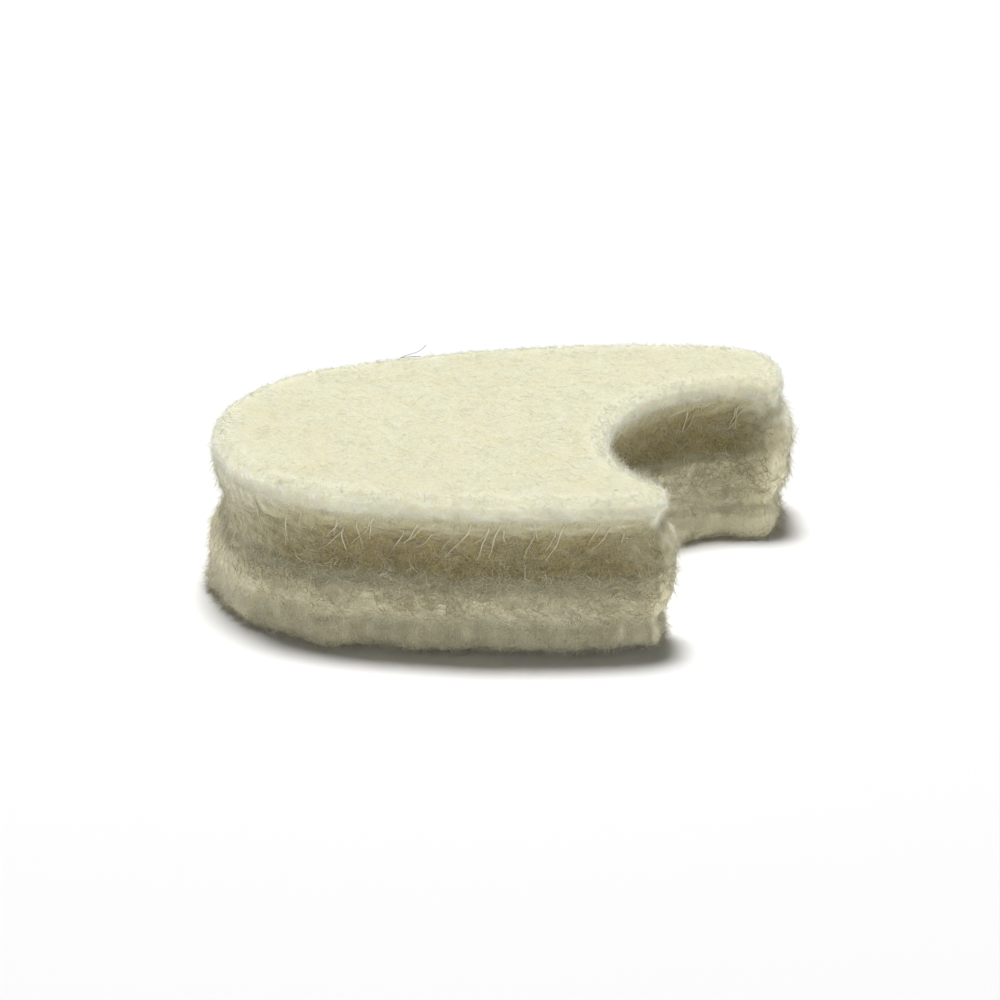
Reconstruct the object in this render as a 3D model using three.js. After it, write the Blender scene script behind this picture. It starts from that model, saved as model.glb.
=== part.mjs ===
// Toe separator: a thick pad of pressed wool felt that sits between two toes.
// It is one piece of felt, cut with a rounded end, two long crowned sides and a round notch
// between two arms. The cut walls draw in to a groove between the two faces, and the felt
// swells out at the ends of the arms.
// Units are millimetres. +X points to the arms, +Y to the long arm, +Z up from the lower face.
import * as THREE from 'three';

// Overall sizes
const LENGTH = 32.8;
const WIDTH = 23;
const THICKNESS = 9.5;

// How far the sides and the end draw in, and the notch and corners close, by the lower face
const SHORT_SIDE_DRAFT = 0.85;
const END_DRAFT = 0.1;
const NOTCH_DRAFT = 1.3;
const CORNER_DRAFT = 0.5;
const DRAFT_BEND = 3;

// Relief of the cut walls
const LIP_ROUND = 0.75;
const GROOVE_DEPTH = 1.2;
const END_GROOVE_SHARE = 0.56;
const END_DIP = 1.0;
const TIP_SWELL = 0.62;
const TIP_CREASE = 0.36;
const TIP_BLEND = 2.4;
const TIP_FACING = 0.75;

// Rounded end, which stays inside the lines of both sides at every height
const END_CLEARANCE = 0.35;
const END_TO_SHORT_SIDE = SHORT_SIDE_DRAFT + END_CLEARANCE;
const END_TO_LONG_SIDE = 3.2;
const END_RADIUS = (WIDTH - END_TO_SHORT_SIDE - END_TO_LONG_SIDE) / 2;
const END_SHIFT = (END_TO_SHORT_SIDE - END_TO_LONG_SIDE) / 2;

// Crowned sides: how far behind its arm's end each side is widest
const SHORT_SIDE_CROWN = 7.72;
const LONG_SIDE_CROWN = 7.68;

// Arms: how far the short one stops behind the long one, how wide each is at its end, the line
// of each end's crown from its side, and the outer corners. The short arm's corner takes a share
// of its width.
const SHORT_ARM_SETBACK = 7;
const SHORT_ARM_WIDTH = 2.13;
const LONG_ARM_WIDTH = 6.06;
const SHORT_ARM_INSET = 2.5;
const LONG_ARM_INSET = 4.3;
const ARM_CROWN = 8;
const SHORT_ARM_CORNER_SHARE = 0.75;
const SHORT_ARM_CORNER = SHORT_ARM_WIDTH * SHORT_ARM_CORNER_SHARE;
const LONG_ARM_CORNER = 2.6;

// Notch: how deep it is behind the short arm's end, and its corners with the arms, which stay
// wider than the lip's rounding
const NOTCH_REACH = 3.15;
const CORNER_CLEARANCE = 0.15;
const NOTCH_CORNER = LIP_ROUND + CORNER_CLEARANCE;

// Fineness of the mesh
const POINT_SPACING = 0.75;
const CORNER_POINTS = 5;

const FELT_COLOUR = new THREE.Color(0.8, 0.76, 0.6);

// Wall sections from the lower face up. height is a share of THICKNESS, and the others are
// shares of LIP_ROUND, GROOVE_DEPTH, TIP_SWELL (outwards) and TIP_CREASE (inwards).
const SECTIONS = [
  { height: 0.0, lip: 0.8, groove: 0.0, swell: 0.0, crease: 0.0 },
  { height: 0.025, lip: 0.3, groove: 0.0, swell: 0.0, crease: 0.0 },
  { height: 0.063, lip: 0.0, groove: 0.0, swell: 0.0, crease: 0.0 },
  { height: 0.115, lip: 0.0, groove: 0.05, swell: 0.0, crease: 0.1 },
  { height: 0.16, lip: 0.0, groove: 0.12, swell: 0.0, crease: 0.55 },
  { height: 0.205, lip: 0.0, groove: 0.2, swell: 0.0, crease: 1.0 },
  { height: 0.25, lip: 0.0, groove: 0.14, swell: 0.0, crease: 0.55 },
  { height: 0.3, lip: 0.0, groove: 0.12, swell: 0.08, crease: 0.12 },
  { height: 0.36, lip: 0.0, groove: 0.22, swell: 0.3, crease: 0.0 },
  { height: 0.43, lip: 0.0, groove: 0.42, swell: 0.57, crease: 0.0 },
  { height: 0.5, lip: 0.0, groove: 0.7, swell: 0.8, crease: 0.0 },
  { height: 0.57, lip: 0.0, groove: 0.92, swell: 0.97, crease: 0.0 },
  { height: 0.63, lip: 0.0, groove: 1.0, swell: 1.0, crease: 0.0 },
  { height: 0.69, lip: 0.0, groove: 0.93, swell: 0.8, crease: 0.0 },
  { height: 0.745, lip: 0.0, groove: 0.7, swell: 0.4, crease: 0.0 },
  { height: 0.79, lip: 0.0, groove: 0.46, swell: 0.0, crease: 0.4 },
  { height: 0.83, lip: 0.0, groove: 0.27, swell: 0.0, crease: 1.0 },
  { height: 0.87, lip: 0.0, groove: 0.12, swell: 0.0, crease: 0.5 },
  { height: 0.91, lip: 0.0, groove: 0.0, swell: 0.0, crease: 0.0 },
  { height: 0.945, lip: 0.1, groove: 0.0, swell: 0.0, crease: 0.0 },
  { height: 0.975, lip: 0.38, groove: 0.0, swell: 0.0, crease: 0.0 },
  { height: 1.0, lip: 1.0, groove: 0.0, swell: 0.0, crease: 0.0 },
];

const mix = THREE.MathUtils.lerp;
const ease = (share) => THREE.MathUtils.smoothstep(share, 0, 1);
const bow = (share) => 4 * share * (1 - share);

// The point that lies a given distance from each of two centres, to the left of the line
// from the first to the second, or to its right.
function meet(first, firstReach, second, secondReach, onLeft) {
  const line = second.clone().sub(first);
  const span = line.length();
  const along = (firstReach ** 2 - secondReach ** 2 + span ** 2) / (2 * span);
  const aside = Math.sqrt(Math.max(firstReach ** 2 - along ** 2, 0));
  const ahead = line.divideScalar(span);
  const left = new THREE.Vector2(-ahead.y, ahead.x).multiplyScalar(onLeft ? aside : -aside);
  return first.clone().addScaledVector(ahead, along).add(left);
}

// The radius of a crowned side that touches the rounded end and is widest a given run past the
// end's centre, where it is a given rise away from that centre's line.
const crownRadius = (run, rise) =>
  (run ** 2 + rise ** 2 - END_RADIUS ** 2) / (2 * (rise - END_RADIUS));

// The centre of a crowned side that leaves the rounded end and just touches the line at y.
function sideCentre(end, endRadius, y, radius) {
  const run = Math.sqrt((radius - endRadius) ** 2 - (y - end.y) ** 2);
  return new THREE.Vector2(end.x + run, y);
}

// The circle through two points whose deepest place, towards -X, has a given x.
function hollow(deepest, low, high) {
  const a = low.x - deepest;
  const b = high.x - deepest;
  const linear = 2 * (a * high.y - b * low.y);
  const rest = b * (a ** 2 + low.y ** 2) - a * (b ** 2 + high.y ** 2);
  const y = (Math.sqrt(linear ** 2 - 4 * (b - a) * rest) - linear) / (2 * (b - a));
  const radius = (a ** 2 + (low.y - y) ** 2) / (2 * a);
  return { centre: new THREE.Vector2(deepest + radius, y), radius };
}

// How far a circle is from its centre's line, up or down, at a given x.
const riseAt = (circle, x) => Math.sqrt(circle.radius ** 2 - (x - circle.centre.x) ** 2);

// The main circles of the plan at the upper face, with where each arm ends.
function plan() {
  const longReach = LENGTH / 2;
  const shortReach = longReach - SHORT_ARM_SETBACK;
  const end = new THREE.Vector2(END_RADIUS - LENGTH / 2, END_SHIFT);
  const shortRun = shortReach - SHORT_SIDE_CROWN - end.x;
  const longRun = longReach - LONG_SIDE_CROWN - end.x;
  const shortSide = { radius: crownRadius(shortRun, END_RADIUS + END_TO_SHORT_SIDE) };
  const longSide = { radius: crownRadius(longRun, END_RADIUS + END_TO_LONG_SIDE) };
  shortSide.centre = new THREE.Vector2(end.x + shortRun, shortSide.radius - WIDTH / 2);
  longSide.centre = new THREE.Vector2(end.x + longRun, WIDTH / 2 - longSide.radius);

  const shortEdge = shortSide.centre.y - riseAt(shortSide, shortReach);
  const longEdge = longSide.centre.y + riseAt(longSide, longReach);
  const low = new THREE.Vector2(shortReach, shortEdge + SHORT_ARM_WIDTH);
  const high = new THREE.Vector2(longReach, longEdge - LONG_ARM_WIDTH);
  const notch = hollow(shortReach - NOTCH_REACH, low, high);
  return { longReach, shortReach, end, shortSide, longSide, notch };
}

// The circles of the outline in order, for a share of the draft: 0 at the upper face and 1 at
// the lower face. A negative radius is a hollow arc, and arm marks the circles of an arm's end.
function circles(draft) {
  const { longReach, shortReach, end, notch, ...sides } = plan();
  const longRadius = LONG_ARM_CORNER - CORNER_DRAFT * draft;
  const shortRadius = SHORT_ARM_CORNER - CORNER_DRAFT * draft;
  const endRadius = END_RADIUS - END_DRAFT * draft;

  const shortSideRadius = sides.shortSide.radius;
  const longSideRadius = sides.longSide.radius;
  const shortSideY = sides.shortSide.centre.y + SHORT_SIDE_DRAFT * draft;
  const longSideY = sides.longSide.centre.y;
  const shortSide = sideCentre(end, endRadius, shortSideY, shortSideRadius);
  const longSide = sideCentre(end, endRadius, longSideY, longSideRadius);

  const longTip = new THREE.Vector2(longReach - ARM_CROWN, WIDTH / 2 - LONG_ARM_INSET);
  const shortTip = new THREE.Vector2(shortReach - ARM_CROWN, SHORT_ARM_INSET - WIDTH / 2);
  const longOuter = meet(
    longSide,
    longSideRadius - longRadius,
    longTip,
    ARM_CROWN - longRadius,
    false,
  );
  const shortOuter = meet(
    shortSide,
    shortSideRadius - shortRadius,
    shortTip,
    ARM_CROWN - shortRadius,
    true,
  );

  const notchRadius = notch.radius - NOTCH_DRAFT * draft;
  const clear = notchRadius + NOTCH_CORNER;
  const shortInner = meet(shortTip, ARM_CROWN - NOTCH_CORNER, notch.centre, clear, false);
  const longInner = meet(longTip, ARM_CROWN - NOTCH_CORNER, notch.centre, clear, true);

  return [
    { centre: shortSide, radius: shortSideRadius, arm: false },
    { centre: shortOuter, radius: shortRadius, arm: true },
    { centre: shortTip, radius: ARM_CROWN, arm: true },
    { centre: shortInner, radius: NOTCH_CORNER, arm: true },
    { centre: notch.centre, radius: -notchRadius, arm: false },
    { centre: longInner, radius: NOTCH_CORNER, arm: true },
    { centre: longTip, radius: ARM_CROWN, arm: true },
    { centre: longOuter, radius: longRadius, arm: true },
    { centre: longSide, radius: longSideRadius, arm: false },
    { centre: end, radius: endRadius, arm: false },
  ];
}

// Where two touching circles meet.
function touch(one, other) {
  const way = other.centre.clone().sub(one.centre).normalize();
  const outside = one.radius < 0 || other.radius < 0;
  const larger = Math.abs(one.radius) >= Math.abs(other.radius);
  const reach = outside || larger ? Math.abs(one.radius) : -Math.abs(one.radius);
  return one.centre.clone().addScaledVector(way, reach);
}

// The arcs of the outline, each with its start angle and signed sweep.
function arcs(draft) {
  const chain = circles(draft);
  const turn = 2 * Math.PI;
  return chain.map((circle, index) => {
    const before = chain[(index + chain.length - 1) % chain.length];
    const after = chain[(index + 1) % chain.length];
    const from = touch(circle, before).sub(circle.centre).angle();
    const to = touch(circle, after).sub(circle.centre).angle();
    const sweep = circle.radius > 0 ? (to - from + turn) % turn : -((from - to + turn) % turn);
    return { ...circle, from, sweep };
  });
}

// How many steps each arc takes, the same at every height.
function stepCounts() {
  return arcs(0).map((arc) => {
    const run = Math.abs(arc.radius * arc.sweep);
    return Math.max(CORNER_POINTS, Math.round(run / POINT_SPACING));
  });
}

// The outline as points, each with its outward way and its share of the arm ends' relief.
function outline(draft, counts) {
  const points = [];
  arcs(draft).forEach((arc, index) => {
    const size = Math.abs(arc.radius);
    for (let step = 0; step < counts[index]; step += 1) {
      const angle = arc.from + (arc.sweep * step) / counts[index];
      const way = new THREE.Vector2(Math.cos(angle), Math.sin(angle));
      const place = arc.centre.clone().addScaledVector(way, size);
      const outward = arc.radius > 0 ? way : way.clone().negate();
      const tip = arc.arm && outward.x > TIP_FACING;
      points.push({ place, outward, tip, run: (size * Math.abs(arc.sweep)) / counts[index] });
    }
  });
  return spreadTips(points);
}

// Lets the arm ends' relief fade along the outline within TIP_BLEND of each end.
function spreadTips(points) {
  const total = points.length;
  const reach = points.map((point) => (point.tip ? 0 : Infinity));
  for (let pass = 0; pass < 2 * total; pass += 1) {
    const here = pass % total;
    const next = (here + 1) % total;
    reach[next] = Math.min(reach[next], reach[here] + points[here].run);
    const back = total - 1 - here;
    const last = (back + total - 1) % total;
    reach[last] = Math.min(reach[last], reach[back] + points[last].run);
  }
  return points.map((point, index) => ({ ...point, tip: ease(1 - reach[index] / TIP_BLEND) }));
}

// How far a place is past the rounded end: 0 at its far side and 1 where the sides begin.
const pastEnd = (place) => ease((place.x + LENGTH / 2) / END_RADIUS);

// One ring of the wall at a row of the section table. The groove is shallower and lies lower
// round the end than along the sides and the notch.
function ring(section, counts) {
  const draft = (1 - section.height) ** DRAFT_BEND;
  const dip = END_DIP * bow(section.height);
  return outline(draft, counts).map(({ place, outward, tip }) => {
    const past = pastEnd(place);
    const side = GROOVE_DEPTH * section.groove * mix(END_GROOVE_SHARE, 1, past);
    const armEnd = TIP_CREASE * section.crease - TIP_SWELL * section.swell;
    const inset = LIP_ROUND * section.lip + mix(side, armEnd, tip);
    const moved = place.clone().addScaledVector(outward, -inset);
    return new THREE.Vector3(moved.x, moved.y, section.height * THICKNESS - dip * (1 - past));
  });
}

// The closed body: rings joined by quads, with a flat face at the bottom and at the top.
function padGeometry() {
  const counts = stepCounts();
  const rings = SECTIONS.map((section) => ring(section, counts));
  const around = rings[0].length;
  const faces = [];
  for (let level = 0; level + 1 < rings.length; level += 1) {
    for (let step = 0; step < around; step += 1) {
      const a = level * around + step;
      const b = level * around + ((step + 1) % around);
      faces.push(a, b, b + around, a, b + around, a + around);
    }
  }
  const topStart = (rings.length - 1) * around;
  const flat = (points) => points.map((point) => new THREE.Vector2(point.x, point.y));
  for (const [a, b, c] of THREE.ShapeUtils.triangulateShape(flat(rings[0]), [])) {
    faces.push(a, c, b);
  }
  for (const [a, b, c] of THREE.ShapeUtils.triangulateShape(flat(rings.at(-1)), [])) {
    faces.push(topStart + a, topStart + b, topStart + c);
  }
  const geometry = new THREE.BufferGeometry().setFromPoints(rings.flat());
  geometry.setIndex(faces);
  geometry.computeBoundingBox();
  const middle = geometry.boundingBox.getCenter(new THREE.Vector3());
  geometry.translate(-middle.x, -middle.y, 0);
  geometry.computeVertexNormals();
  return geometry;
}

const woolFelt = new THREE.MeshStandardMaterial({
  color: FELT_COLOUR,
  roughness: 0.95,
  metalness: 0,
});

const feltPad = new THREE.Mesh(padGeometry(), woolFelt);
feltPad.name = 'felt_pad';

const toeSeparator = new THREE.Group();
toeSeparator.add(feltPad);

export default toeSeparator;
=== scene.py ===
"""A toe separator: a thick pad of pressed wool felt, lying on a pale floor.

The felt body is remeshed from the frame's solid and roughened, and wool fibres are grown on it:
a fine nap on the upper face, a white fuzzy rim, bristles on the notch's near rim, crimped fibres
in the groove and on the ridge, finer ones on the lower lip and on the ends, a fringe at the foot
and pale hairs under the lip. The felt's colour carries painted shade in the groove and on the
walls and painted light on the rim, the ridge, the ends and in the notch; the groove's fibres take
painted shade, the ridge's fibres painted light and the foot's fringe a painted contact shadow.
Sizes are in metres, worked out from millimetres by MM.
"""
import logging
import math
from dataclasses import dataclass, field
from enum import Enum
from typing import Any, ClassVar

import bmesh
import bpy
import numpy as np
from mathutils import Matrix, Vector, kdtree, noise


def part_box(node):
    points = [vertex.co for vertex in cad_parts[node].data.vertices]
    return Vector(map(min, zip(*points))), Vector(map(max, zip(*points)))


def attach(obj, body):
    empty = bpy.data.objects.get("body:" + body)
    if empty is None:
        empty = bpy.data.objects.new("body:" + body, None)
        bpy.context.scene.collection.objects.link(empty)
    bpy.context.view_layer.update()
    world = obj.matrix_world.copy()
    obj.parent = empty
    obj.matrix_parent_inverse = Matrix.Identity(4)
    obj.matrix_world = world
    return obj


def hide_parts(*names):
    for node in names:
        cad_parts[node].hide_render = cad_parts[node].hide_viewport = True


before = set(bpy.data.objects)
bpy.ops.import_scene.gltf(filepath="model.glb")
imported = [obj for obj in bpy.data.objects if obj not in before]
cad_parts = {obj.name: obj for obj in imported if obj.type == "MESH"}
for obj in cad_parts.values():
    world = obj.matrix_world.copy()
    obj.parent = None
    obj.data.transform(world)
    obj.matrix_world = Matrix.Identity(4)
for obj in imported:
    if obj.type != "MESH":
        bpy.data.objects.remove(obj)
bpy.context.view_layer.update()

LOG = logging.getLogger("toe_separator")
MM = 0.001
PAD_NODE = "felt_pad"
LOW, HIGH = (Vector(corner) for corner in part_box(PAD_NODE))
THICKNESS = HIGH.z - LOW.z
NOTCH_CENTRE = Vector((13.65 * MM, -2.45 * MM, 0.0))
NOTCH_RADIUS = 7.7 * MM
SHORT_ARM_Y = NOTCH_CENTRE.y - 4.0 * MM
TUFT_SHIFT = Vector((7.0, 3.0, 1.0))
LAYER_SHIFT = Vector((1.0, 9.0, 4.0))
NAP_SEED, RIM_SEED, PAINTED_SHADE_SEED = 3.0, 5.0, 8.0
Colour = tuple[float, float, float]


class Mask(Enum):
    """The vertex attributes that say where each kind of fibre grows."""

    TOP = "nap_top"
    RIM = "nap_rim"
    BRISTLES = "nap_bristles"
    HOLLOW = "nap_hollow"
    RIDGE = "nap_ridge"
    LOWER = "nap_lower"
    UNDER_LIP = "nap_under_lip"
    FOOT = "nap_foot"


def smooth_step(low: float, high: float, values: np.ndarray) -> np.ndarray:
    """Eases from 0 to 1 between two limits.

    Args:
        low: The value that gives 0.
        high: The value that gives 1, which may be the smaller one.
        values: The values to ease.

    Returns:
        The eased shares.
    """
    share = np.clip((values - low) / (high - low), 0.0, 1.0)
    return share * share * (3.0 - 2.0 * share)


def step_down(low: float, high: float, values: np.ndarray) -> np.ndarray:
    """Eases from 1 to 0 between two limits."""
    return 1.0 - smooth_step(low, high, values)


def linked(name: str, data: bpy.types.ID) -> bpy.types.Object:
    """Makes an object and links it to the scene.

    Args:
        name: The object's name.
        data: Its mesh, curve, light or camera.

    Returns:
        The object.
    """
    made = bpy.data.objects.new(name, data)
    bpy.context.scene.collection.objects.link(made)
    return made


def baked(holder: bpy.types.Object, name: str) -> bpy.types.Mesh:
    """Turns an object into a plain mesh, as its modifiers leave it, and removes the object.

    Args:
        holder: The object, whose own data is removed too.
        name: The mesh's name.

    Returns:
        The mesh.
    """
    view = bpy.context.evaluated_depsgraph_get()
    mesh = bpy.data.meshes.new_from_object(holder.evaluated_get(view))
    mesh.name = name
    source = holder.data
    bpy.data.objects.remove(holder)
    kept = bpy.data.curves if isinstance(source, bpy.types.Curve) else bpy.data.meshes
    kept.remove(source)
    return mesh


@dataclass
class Graph:
    """Adds nodes to a node tree and joins them, so that a tree reads as a list of steps."""

    tree: bpy.types.NodeTree

    def add(self, kind: str, inputs: dict[int | str, Any] | None = None, **settings: Any) -> bpy.types.Node:
        """Makes one node.

        Args:
            kind: The node's type name.
            inputs: Values or output sockets for its inputs, by index or name.
            settings: Properties of the node.

        Returns:
            The node.
        """
        node = self.tree.nodes.new(kind)
        for name, value in settings.items():
            setattr(node, name, value)
        for key, value in (inputs or {}).items():
            if isinstance(value, bpy.types.NodeSocket):
                self.tree.links.new(value, node.inputs[key])
            else:
                node.inputs[key].default_value = value
        return node

    def maths(self, operation: str, *values: Any) -> bpy.types.NodeSocket:
        """Makes a Math node and gives its result.

        Args:
            operation: The Math node's operation.
            values: Its inputs in order.

        Returns:
            The output socket.
        """
        node = self.add("ShaderNodeMath", dict(enumerate(values)), operation=operation)
        return node.outputs[0]

    def vector(self, operation: str, *values: Any) -> bpy.types.NodeSocket:
        """Makes a Vector Math node and gives its result.

        Args:
            operation: The Vector Math node's operation.
            values: Its inputs in order. The second one of SCALE is a number.

        Returns:
            The vector's socket, or the number's for a dot product or a length.
        """
        inputs: dict[int | str, Any] = dict(enumerate(values))
        if operation == "SCALE":
            inputs = {0: values[0], "Scale": values[1]}
        node = self.add("ShaderNodeVectorMath", inputs, operation=operation)
        return node.outputs["Value" if operation in ("DOT_PRODUCT", "LENGTH") else "Vector"]

    def mix(self, share: bpy.types.NodeSocket, first: Any, second: Any) -> bpy.types.NodeSocket:
        """Mixes two colours.

        Args:
            share: The second colour's share.
            first: The first colour, or its socket.
            second: The second colour, or its socket.

        Returns:
            The mixed colour's socket.
        """
        inputs: dict[int | str, Any] = {"Factor": share}
        for index, colour in ((6, first), (7, second)):
            inputs[index] = colour if isinstance(colour, bpy.types.NodeSocket) else (*colour, 1.0)
        return self.add("ShaderNodeMix", inputs, data_type="RGBA").outputs[2]

    def ranged(self, value: Any, *limits: float, **settings: Any) -> bpy.types.NodeSocket:
        """Maps a value from one range to another.

        Args:
            value: The value's socket.
            limits: The first range's two ends, then the second one's.
            settings: Properties of the node.

        Returns:
            The mapped value's socket.
        """
        names = ("From Min", "From Max", "To Min", "To Max")
        inputs = {"Value": value, **dict(zip(names, limits))}
        return self.add("ShaderNodeMapRange", inputs, **settings).outputs[0]


def new_material(name: str) -> tuple[bpy.types.Material, Graph]:
    """Makes a material without nodes.

    Args:
        name: The material's name.

    Returns:
        The material, and the graph that adds its nodes.
    """
    made = bpy.data.materials.new(name)
    made.use_nodes = True
    made.node_tree.nodes.clear()
    return made, Graph(made.node_tree)


class FibreTree:
    """The Geometry Nodes tree that grows wool fibres on a surface, as closed three-sided tubes."""

    INPUTS = {
        "NodeSocketString": ("Mask",),
        "NodeSocketInt": ("Seed", "Points"),
        "NodeSocketFloat": (
            "Density", "Length", "Length Spread", "Thickness", "Rise", "Rise Spread",
            "Order", "Curl", "Crimp", "Droop",
        ),
        "NodeSocketVector": ("Along",),
        "NodeSocketMaterial": ("Material",),
    }
    SIDES = 3
    TIP_SHARE = 0.3
    CRIMP_TURNS = 1.3
    DRAWS = {"wild": 1, "turn": 2, "curl": 3, "stretch": 4, "tone": 5, "start": 8}

    def __init__(self) -> None:
        """Builds the tree and keeps the identifiers of its inputs."""
        self.tree = bpy.data.node_groups.new("wool_fibres", "GeometryNodeTree")
        self.graph = Graph(self.tree)
        face = self.tree.interface
        face.new_socket("Geometry", in_out="INPUT", socket_type="NodeSocketGeometry")
        for kind, names in self.INPUTS.items():
            for name in names:
                face.new_socket(name, in_out="INPUT", socket_type=kind)
        face.new_socket("Geometry", in_out="OUTPUT", socket_type="NodeSocketGeometry")
        self.sockets = {item.name: item.identifier for item in face.items_tree if item.in_out == "INPUT"}
        self._build()

    def _random(self, seed: Any, kind: str, low: Any, high: Any) -> bpy.types.NodeSocket:
        """Makes a Random Value node.

        Args:
            seed: A number or socket for the seed.
            kind: FLOAT or FLOAT_VECTOR.
            low: The lowest value.
            high: The highest value.

        Returns:
            The output socket of that kind.
        """
        first, result = {"FLOAT_VECTOR": (0, 0), "FLOAT": (2, 1)}[kind]
        inputs = {first: low, first + 1: high, "Seed": seed}
        return self.graph.add("FunctionNodeRandomValue", inputs, data_type=kind).outputs[result]

    def _store(self, geometry: Any, name: str, kind: str, value: Any) -> bpy.types.NodeSocket:
        """Keeps a value on each point under a name.

        Args:
            geometry: The points' socket.
            name: The attribute's name.
            kind: Its type.
            value: The value's socket.

        Returns:
            The socket of the points with the attribute.
        """
        node = self.graph.add(
            "GeometryNodeStoreNamedAttribute",
            {"Geometry": geometry, "Name": name, "Value": value},
            data_type=kind,
            domain="POINT",
        )
        return node.outputs["Geometry"]

    def _read(self, name: Any, kind: str) -> bpy.types.NodeSocket:
        """Reads a named attribute."""
        return self.graph.add("GeometryNodeInputNamedAttribute", {"Name": name}, data_type=kind).outputs[0]

    def _build(self) -> None:
        """Adds the nodes: roots, their directions, the points along each fibre, and the tubes."""
        graph = self.graph
        given = graph.add("NodeGroupInput").outputs
        mask = self._read(given["Mask"], "FLOAT")
        scatter = graph.add(
            "GeometryNodeDistributePointsOnFaces",
            {"Mesh": given["Geometry"], "Seed": given["Seed"]},
            distribute_method="RANDOM",
        )
        self.tree.links.new(graph.maths("MULTIPLY", mask, given["Density"]), scatter.inputs["Density"])
        out = scatter.outputs["Normal"]

        seeds = {name: graph.maths("ADD", given["Seed"], float(step)) for name, step in self.DRAWS.items()}
        wild = self._random(seeds["wild"], "FLOAT_VECTOR", (-1.0, -1.0, -1.0), (1.0, 1.0, 1.0))
        kept = graph.vector("SCALE", given["Along"], given["Order"])
        freed = graph.vector("SCALE", wild, graph.maths("SUBTRACT", 1.0, given["Order"]))
        aim = graph.vector("ADD", kept, freed)
        lift = graph.vector("SCALE", out, graph.vector("DOT_PRODUCT", aim, out))
        lying = graph.vector("NORMALIZE", graph.vector("SUBTRACT", aim, lift))
        turn = self._random(seeds["turn"], "FLOAT", -1.0, 1.0)
        rise = graph.maths("ADD", given["Rise"], graph.maths("MULTIPLY", turn, given["Rise Spread"]))
        way = graph.vector(
            "ADD",
            graph.vector("SCALE", lying, graph.maths("COSINE", rise)),
            graph.vector("SCALE", out, graph.maths("SINE", rise)),
        )
        aside = graph.vector("CROSS_PRODUCT", out, lying)
        curled = self._random(seeds["curl"], "FLOAT", -1.0, 1.0)
        swing = graph.maths("MULTIPLY", curled, given["Curl"])
        bend = graph.vector(
            "SUBTRACT",
            graph.vector("SCALE", aside, swing),
            graph.vector("SCALE", out, given["Droop"]),
        )
        stretch = self._random(seeds["stretch"], "FLOAT", -1.0, 1.0)
        share = graph.maths("ADD", 1.0, graph.maths("MULTIPLY", stretch, given["Length Spread"]))
        reach = graph.maths("MULTIPLY", given["Length"], share)

        drawn = {
            "way": ("FLOAT_VECTOR", way),
            "bend": ("FLOAT_VECTOR", bend),
            "reach": ("FLOAT", reach),
            "across": ("FLOAT_VECTOR", graph.vector("SCALE", aside, given["Crimp"])),
            "start": ("FLOAT", self._random(seeds["start"], "FLOAT", 0.0, math.tau)),
            "tone": ("FLOAT", self._random(seeds["tone"], "FLOAT", 0.0, 1.0)),
            "strand": ("INT", graph.add("GeometryNodeInputIndex").outputs[0]),
        }
        roots = scatter.outputs["Points"]
        for name, (kind, value) in drawn.items():
            roots = self._store(roots, name, kind, value)

        copies = graph.add(
            "GeometryNodeDuplicateElements",
            {"Geometry": roots, "Amount": given["Points"]},
            domain="POINT",
        )
        last = graph.maths("SUBTRACT", given["Points"], 1.0)
        place = graph.maths("DIVIDE", copies.outputs["Duplicate Index"], last)
        far = graph.maths("MULTIPLY", self._read("reach", "FLOAT"), place)
        straight = graph.vector("SCALE", self._read("way", "FLOAT_VECTOR"), far)
        curved = graph.vector(
            "SCALE", self._read("bend", "FLOAT_VECTOR"), graph.maths("MULTIPLY", far, place)
        )
        begun = self._read("start", "FLOAT")
        turned = graph.maths("ADD", graph.maths("MULTIPLY", place, self.CRIMP_TURNS * math.tau), begun)
        sway = graph.maths("SUBTRACT", graph.maths("SINE", turned), graph.maths("SINE", begun))
        crimped = graph.vector(
            "SCALE",
            self._read("across", "FLOAT_VECTOR"),
            graph.maths("MULTIPLY", self._read("reach", "FLOAT"), sway),
        )
        moved_by = graph.vector("ADD", graph.vector("ADD", straight, curved), crimped)
        spot = graph.vector("ADD", graph.add("GeometryNodeInputPosition").outputs[0], moved_by)
        parts = graph.add("ShaderNodeSeparateXYZ", {0: spot}).outputs
        above = graph.maths("MAXIMUM", parts["Z"], given["Thickness"])
        held = graph.add("ShaderNodeCombineXYZ", {0: parts["X"], 1: parts["Y"], 2: above}).outputs[0]
        placed = self._store(copies.outputs["Geometry"], "place", "FLOAT", place)
        moved = graph.add("GeometryNodeSetPosition", {"Geometry": placed, "Position": held})
        strands = graph.add(
            "GeometryNodePointsToCurves",
            {
                "Points": moved.outputs[0],
                "Curve Group ID": self._read("strand", "INT"),
                "Weight": self._read("place", "FLOAT"),
            },
        )
        taper = graph.ranged(self._read("place", "FLOAT"), 0.0, 1.0, 1.0, self.TIP_SHARE)
        radius = graph.add(
            "GeometryNodeSetCurveRadius",
            {"Curve": strands.outputs[0], "Radius": graph.maths("MULTIPLY", taper, given["Thickness"])},
        )
        ring = graph.add("GeometryNodeCurvePrimitiveCircle", {"Resolution": self.SIDES, "Radius": 1.0})
        tubes = graph.add(
            "GeometryNodeCurveToMesh",
            {"Curve": radius.outputs[0], "Profile Curve": ring.outputs[0], "Fill Caps": True},
        )
        self.tree.links.new(graph.add("GeometryNodeInputRadius").outputs[0], tubes.inputs["Scale"])
        mesh = graph.add("GeometryNodeSetShadeSmooth", {"Geometry": tubes.outputs[0]}).outputs[0]
        for name in (name for name in drawn if name != "tone"):
            mesh = graph.add("GeometryNodeRemoveAttribute", {"Geometry": mesh, "Name": name}).outputs[0]
        real = graph.add("GeometryNodeRealizeInstances", {"Geometry": mesh})
        dressed = graph.add(
            "GeometryNodeSetMaterial", {"Geometry": real.outputs[0], "Material": given["Material"]}
        )
        graph.add("NodeGroupOutput", {"Geometry": dressed.outputs[0]})


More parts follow.
